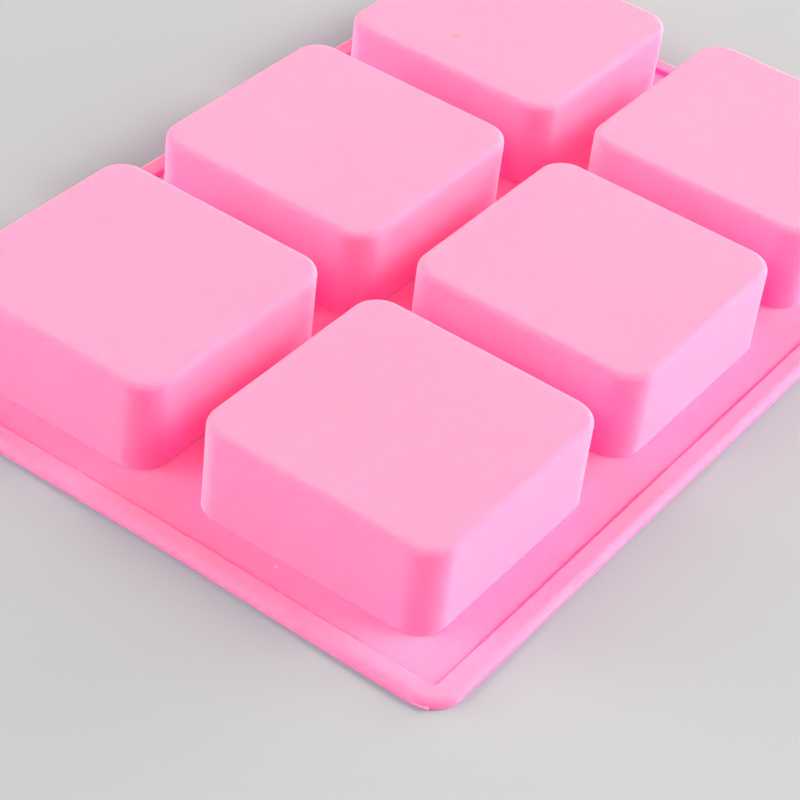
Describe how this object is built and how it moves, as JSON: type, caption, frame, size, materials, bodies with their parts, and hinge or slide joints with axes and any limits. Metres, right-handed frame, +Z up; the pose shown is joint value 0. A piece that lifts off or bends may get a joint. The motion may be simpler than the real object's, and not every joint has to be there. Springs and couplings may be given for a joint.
{
  "type": "silicone soap mould",
  "caption": "One-piece soft silicone soap mould with a grid of square cavities, a flat deck and a thicker rim, lying upside down on its open side.",
  "frame": {"origin": "middle of the open side, on the surface that the mould's rim and deck lie on", "axes": "+Z up, from the open side to the closed ends of the cups; +X along the row of three cups; +Y along the row of two cups"},
  "size_m": [0.2684, 0.185, 0.0275],
  "materials": {
    "cup_silicone": "satin",
    "deck_silicone": "satin",
    "rim_silicone": "satin"
  },
  "bodies": {
    "root": {"deck": "deck_silicone", "rim": "rim_silicone", "cup_front_left": "cup_silicone", "cup_front_middle": "cup_silicone", "cup_front_right": "cup_silicone", "cup_back_left": "cup_silicone", "cup_back_middle": "cup_silicone", "cup_back_right": "cup_silicone"}
  },
  "joints": []
}
